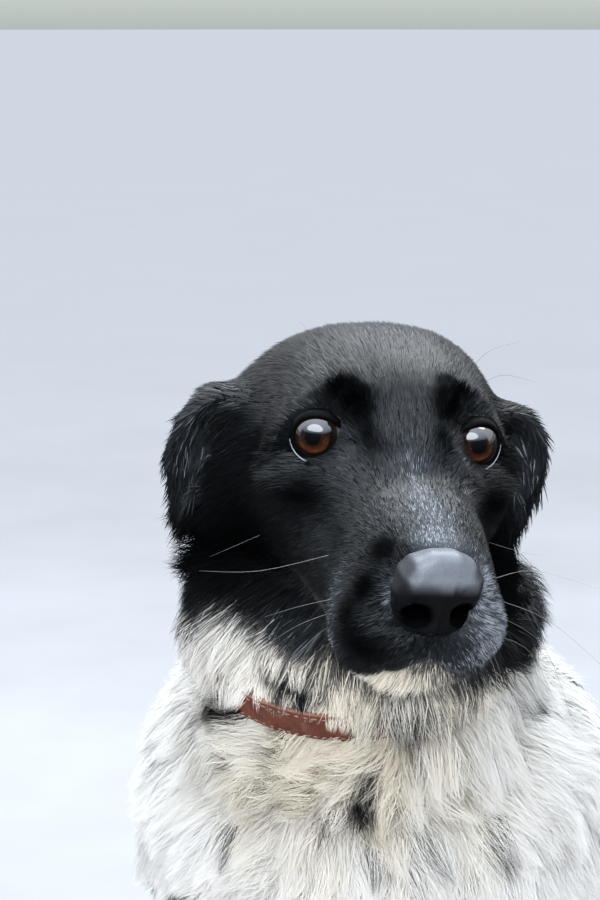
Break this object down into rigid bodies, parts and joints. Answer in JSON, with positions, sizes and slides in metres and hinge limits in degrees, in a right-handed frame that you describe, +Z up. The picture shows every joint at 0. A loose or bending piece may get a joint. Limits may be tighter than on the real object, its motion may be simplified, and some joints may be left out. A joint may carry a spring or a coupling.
{
  "type": "dog",
  "caption": "Life-size sitting mixed-breed dog with a black head, a white coat ticked with black, and a leather collar.",
  "frame": {"origin": "centre of the bounding box's base, on the floor between the fore and hind legs", "axes": "-Y is the way the body faces, +X is the dog's left and +Z is up"},
  "size_m": [0.385, 0.7402, 0.7405],
  "materials": {
    "black_coat": "short glossy black fur",
    "white_coat": "soft cream-white fur with black ticking",
    "nose_leather": "moist pebbled black skin",
    "eyes": "amber-brown iris, black pupil, clear wet cornea",
    "claws": "dark horn",
    "collar_leather": "worn reddish-brown leather",
    "buckle_metal": "dull brass"
  },
  "bodies": {
    "root": {"claw_front_left_1": "claws", "claw_front_left_2": "claws", "claw_front_left_3": "claws", "claw_front_left_4": "claws", "claw_front_right_1": "claws", "claw_front_right_2": "claws", "claw_front_right_3": "claws", "claw_front_right_4": "claws", "claw_hind_left_1": "claws", "claw_hind_left_2": "claws", "claw_hind_left_3": "claws", "claw_hind_left_4": "claws", "claw_hind_right_1": "claws", "claw_hind_right_2": "claws", "claw_hind_right_3": "claws", "claw_hind_right_4": "claws", "collar": "collar_leather", "collar_buckle": "buckle_metal", "ear_left": "black_coat", "ear_right": "black_coat", "eye_left": "eyes", "eye_right": "eyes", "forearm_left": "white_coat", "forearm_right": "white_coat", "front_paw_left": "white_coat", "front_paw_right": "white_coat", "head": "black_coat", "hind_foot_left": "white_coat", "hind_foot_right": "white_coat", "lower_jaw": "white_coat", "neck": "white_coat", "nose": "nose_leather", "shank_left": "white_coat", "shank_right": "white_coat", "tail_base": "white_coat", "tail_tip": "white_coat", "thigh_left": "white_coat", "thigh_right": "white_coat", "trunk": "white_coat", "upper_arm_left": "white_coat", "upper_arm_right": "white_coat"}
  },
  "joints": []
}
